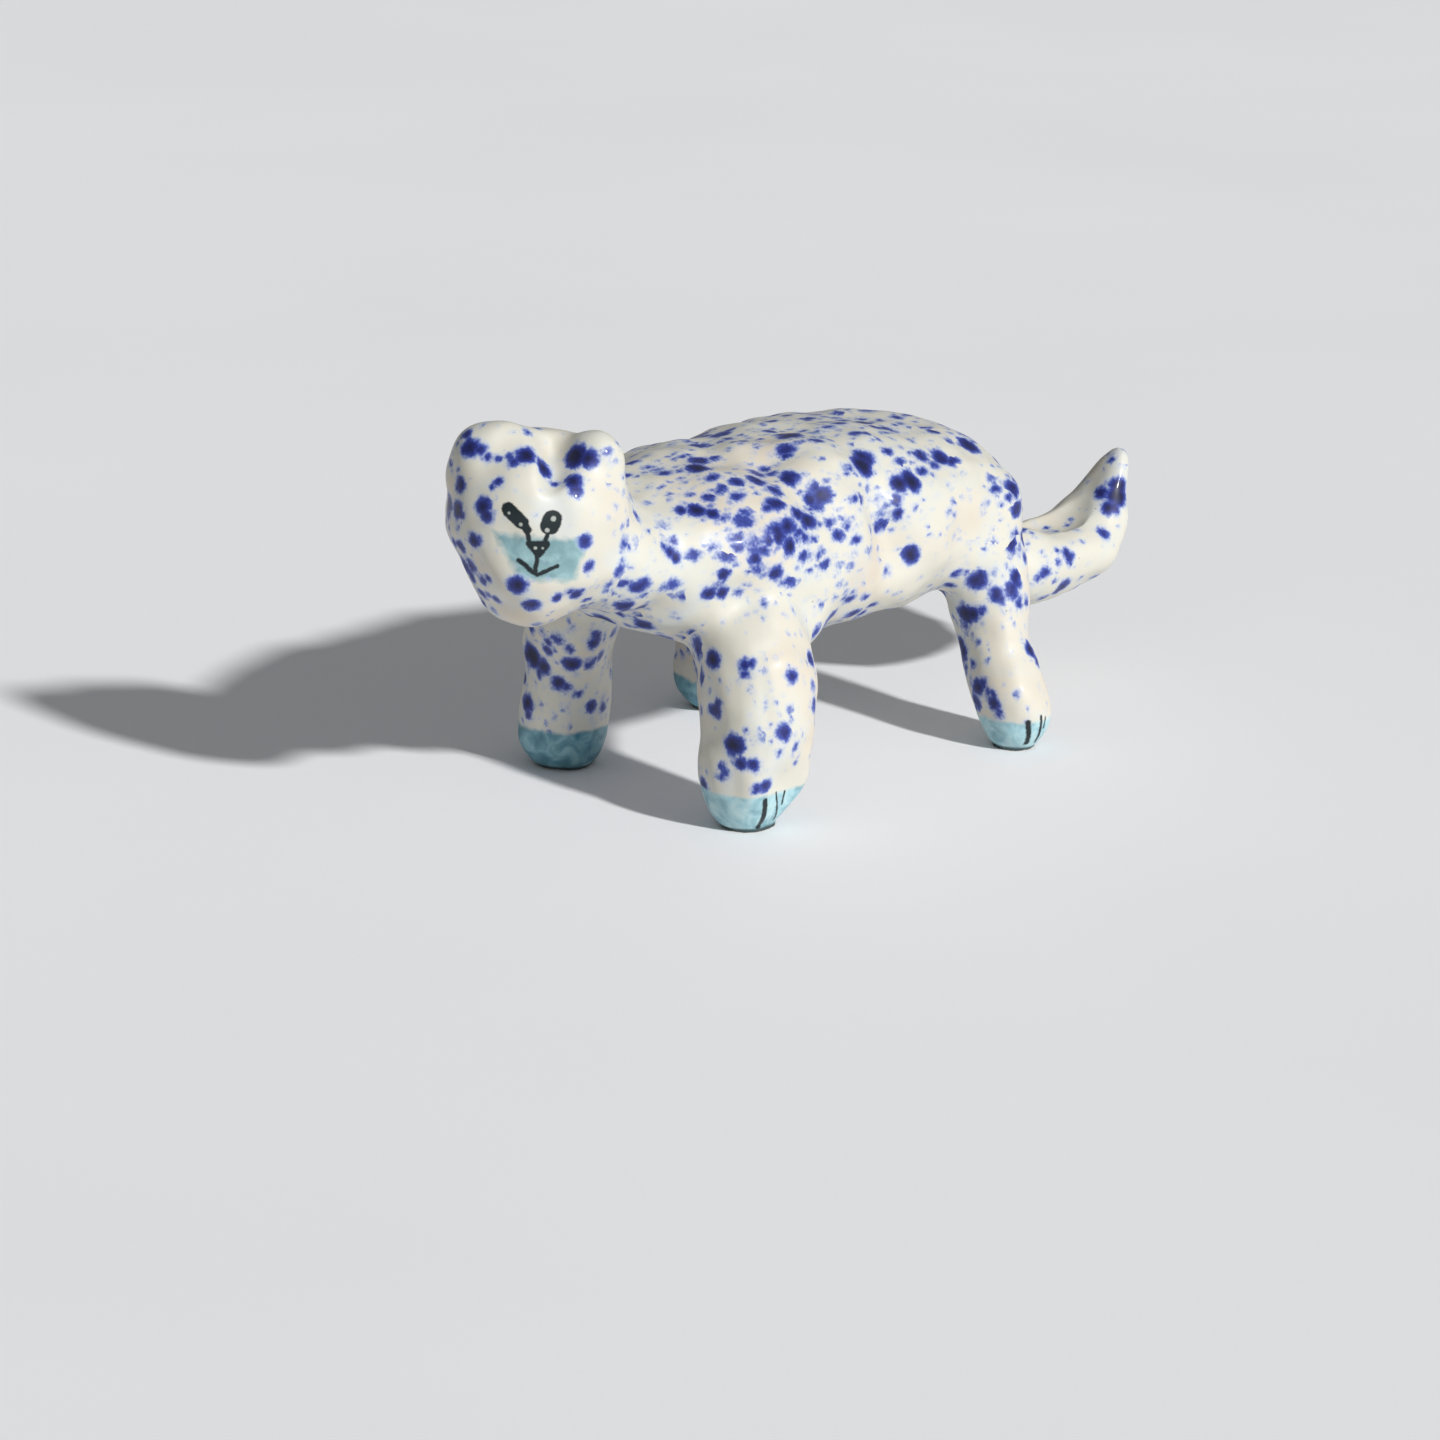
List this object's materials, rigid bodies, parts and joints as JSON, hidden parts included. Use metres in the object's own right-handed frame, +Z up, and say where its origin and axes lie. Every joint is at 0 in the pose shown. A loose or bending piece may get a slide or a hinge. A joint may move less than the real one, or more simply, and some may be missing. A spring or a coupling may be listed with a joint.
{
  "type": "ceramic cat figurine",
  "caption": "Hand-built standing cat figurine with a rounded body, turned head with low rounded ears, stubby splayed legs and a curled gutter-shaped tail, for display on a shelf.",
  "frame": {"origin": "on the surface the paws stand on, under the centre of the whole cat's bounding box", "axes": "+Z up; the cat faces -X, so its tail points to +X and its left side faces -Y"},
  "size_m": [0.1596, 0.0654, 0.0698],
  "materials": {
    "glazed_stoneware": "satin-gloss cream glaze with cobalt speckles, turquoise paws and muzzle, and a painted black face"
  },
  "bodies": {
    "root": {"torso": "glazed_stoneware", "head": "glazed_stoneware", "right_ear": "glazed_stoneware", "left_ear": "glazed_stoneware", "front_right_leg": "glazed_stoneware", "front_left_leg": "glazed_stoneware", "rear_right_leg": "glazed_stoneware", "rear_left_leg": "glazed_stoneware", "tail": "glazed_stoneware"}
  },
  "joints": []
}
